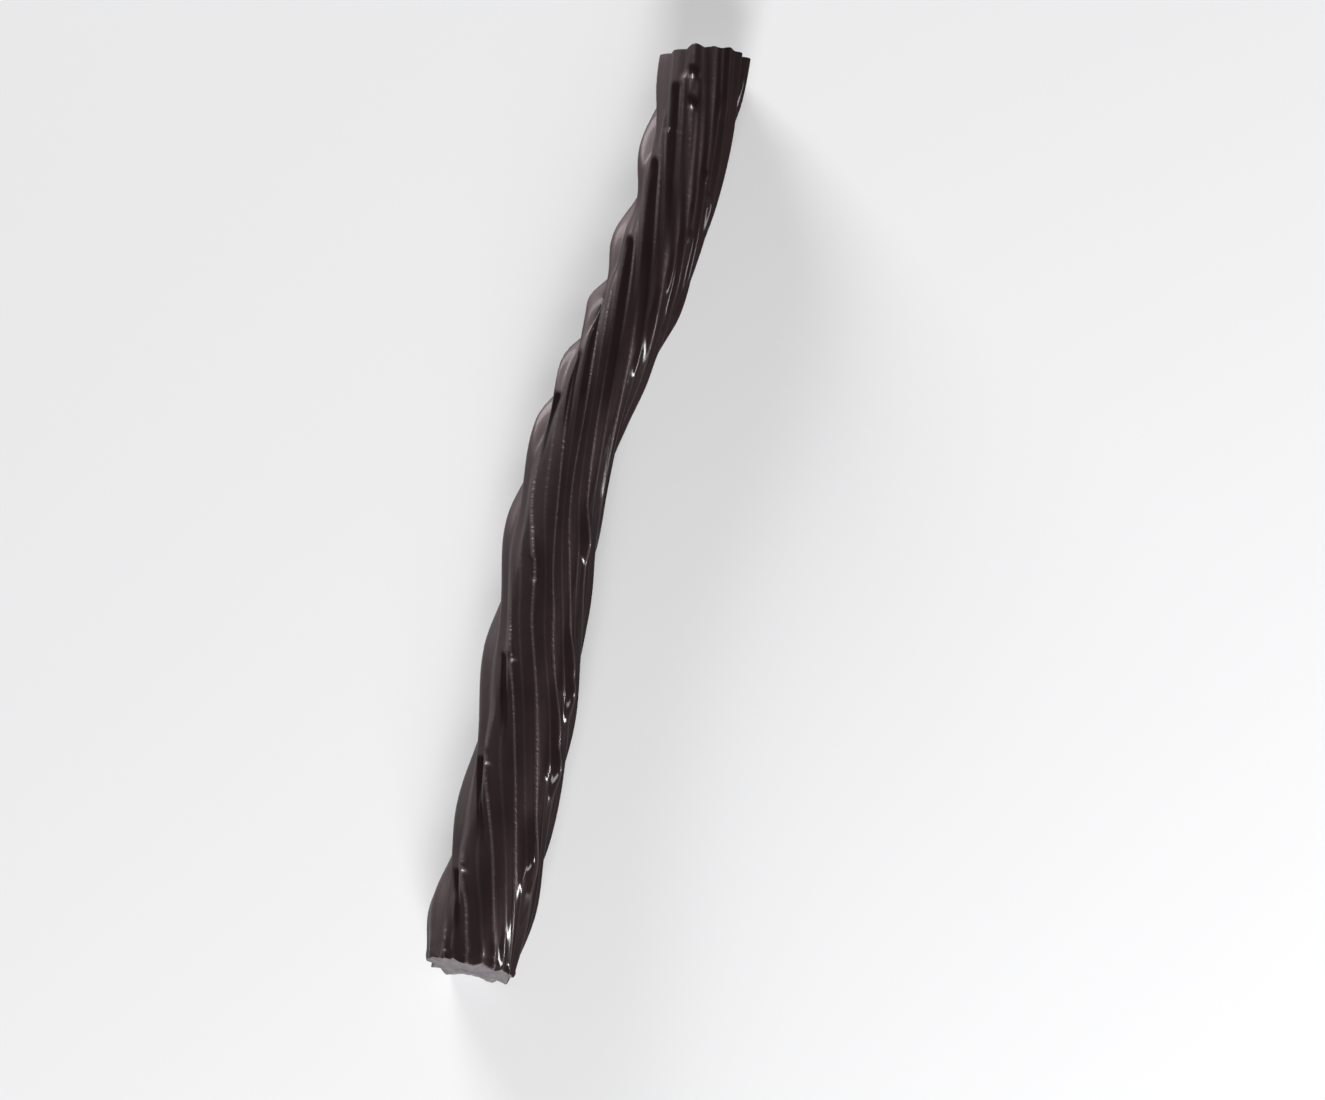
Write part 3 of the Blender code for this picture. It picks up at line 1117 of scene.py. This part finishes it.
def floor_material(settings):
    """Plain pale floor, dull so that it mirrors nothing."""
    material, tree, shader = new_material("Pale floor")
    fill_inputs(
        tree, shader, Base_Color=(*settings.floor_colour, 1.0), Roughness=0.9, Specular_IOR_Level=0.1
    )
    return material


def add_floor(settings):
    """The pale floor, a square that lies just under the strand."""
    half = settings.floor_size / 2.0
    corners = [(-half, -half, 0), (half, -half, 0), (half, half, 0), (-half, half, 0)]
    mesh = bpy.data.meshes.new("pale_floor")
    mesh.from_pydata(corners, [], [(0, 1, 2, 3)])
    mesh.materials.append(floor_material(settings))
    floor = bpy.data.objects.new("pale_floor", mesh)
    floor.location.z = -FLOOR_GAP
    bpy.context.scene.collection.objects.link(floor)
    return floor


def add_light(name, light_form, power):
    """Adds an area light that faces the middle of the strand."""
    place, size = light_form
    light = bpy.data.lights.new(name, "AREA")
    light.shape = "RECTANGLE"
    light.size, light.size_y = size
    light.energy = power
    made = bpy.data.objects.new(name, light)
    made.location = place
    made.rotation_euler = (-Vector(place)).to_track_quat("-Z", "Y").to_euler()
    bpy.context.scene.collection.objects.link(made)
    return light


def set_room(brightness):
    """Lights the room evenly with a plain white."""
    world = bpy.data.worlds.new("Studio")
    world.use_nodes = True
    room = world.node_tree.nodes["Background"]
    room.inputs["Color"].default_value = (1.0, 1.0, 1.0, 1.0)
    room.inputs["Strength"].default_value = brightness
    bpy.context.scene.world = world


def add_camera():
    """Adds the camera at the photograph's angle."""
    azimuth = math.radians(CAMERA_AZIMUTH)
    elevation = math.radians(CAMERA_ELEVATION)
    level = math.cos(elevation)
    ahead = Vector((math.sin(azimuth) * level, math.cos(azimuth) * level, -math.sin(elevation)))
    lens = bpy.data.cameras.new("Camera")
    lens.sensor_fit = "HORIZONTAL"
    lens.sensor_width = CAMERA_SENSOR
    lens.lens = CAMERA_LENS
    lens.clip_start = 0.01
    camera = bpy.data.objects.new("Camera", lens)
    camera.location = Vector(CAMERA_AIM) - ahead * CAMERA_DISTANCE
    camera.rotation_euler = ahead.to_track_quat("-Z", "Y").to_euler()
    bpy.context.scene.collection.objects.link(camera)
    bpy.context.scene.camera = camera


class LICORICE_OT_make_twist(Operator):
    """Make the twisted, ribbed strand of licorice"""

    bl_idname = "licorice.make_twist"
    bl_label = "Make twist"

    def execute(self, context):
        settings = context.scene.licorice_twist
        mesh = strand_mesh(settings, skin_material(settings), cut_material(settings))
        twist = bpy.data.objects.new("black_licorice_twist", mesh)
        context.scene.collection.objects.link(twist)
        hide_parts("licorice_twist")
        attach(twist, "root")
        return {"FINISHED"}


class LICORICE_OT_set_stage(Operator):
    """Set the pale floor, the studio lights and the camera"""

    bl_idname = "licorice.set_stage"
    bl_label = "Set stage"

    def execute(self, context):
        settings = context.scene.licorice_stage
        add_floor(settings)
        add_light("Soft light", SOFT_LIGHT, settings.soft_power)
        add_light("Near light", NEAR_LIGHT, settings.near_power)
        glint = add_light("Glint light", GLINT_LIGHT, settings.glint_power)
        side = add_light("Side light", SIDE_LIGHT, settings.side_power)
        for light in (glint, side):
            light.use_shadow = False
        set_room(settings.surrounding_light)
        context.scene.view_settings.view_transform = "Standard"
        add_camera()
        return {"FINISHED"}


class LICORICE_PT_panel(Panel):
    """Lists the settings and the two steps"""

    bl_idname = "LICORICE_PT_panel"
    bl_label = "Licorice twist"
    bl_space_type = "VIEW_3D"
    bl_region_type = "UI"
    bl_category = "Licorice"

    def draw(self, context):
        steps = (("licorice_twist", "licorice.make_twist"), ("licorice_stage", "licorice.set_stage"))
        for group, button in steps:
            settings = getattr(context.scene, group)
            for name in settings.__annotations__:
                self.layout.prop(settings, name)
            self.layout.operator(button)


CLASSES = (TwistSettings, StageSettings, LICORICE_OT_make_twist, LICORICE_OT_set_stage, LICORICE_PT_panel)


def register():
    """Registers the classes and gives every scene the two groups of settings."""
    for item in CLASSES:
        bpy.utils.register_class(item)
    bpy.types.Scene.licorice_twist = PointerProperty(type=TwistSettings)
    bpy.types.Scene.licorice_stage = PointerProperty(type=StageSettings)


def unregister():
    """Takes back what register did."""
    del bpy.types.Scene.licorice_stage
    del bpy.types.Scene.licorice_twist
    for item in reversed(CLASSES):
        bpy.utils.unregister_class(item)


def main():
    """Makes the twist and its stage."""
    register()
    bpy.ops.licorice.make_twist()
    bpy.ops.licorice.set_stage()


if __name__ == "__main__":
    main()
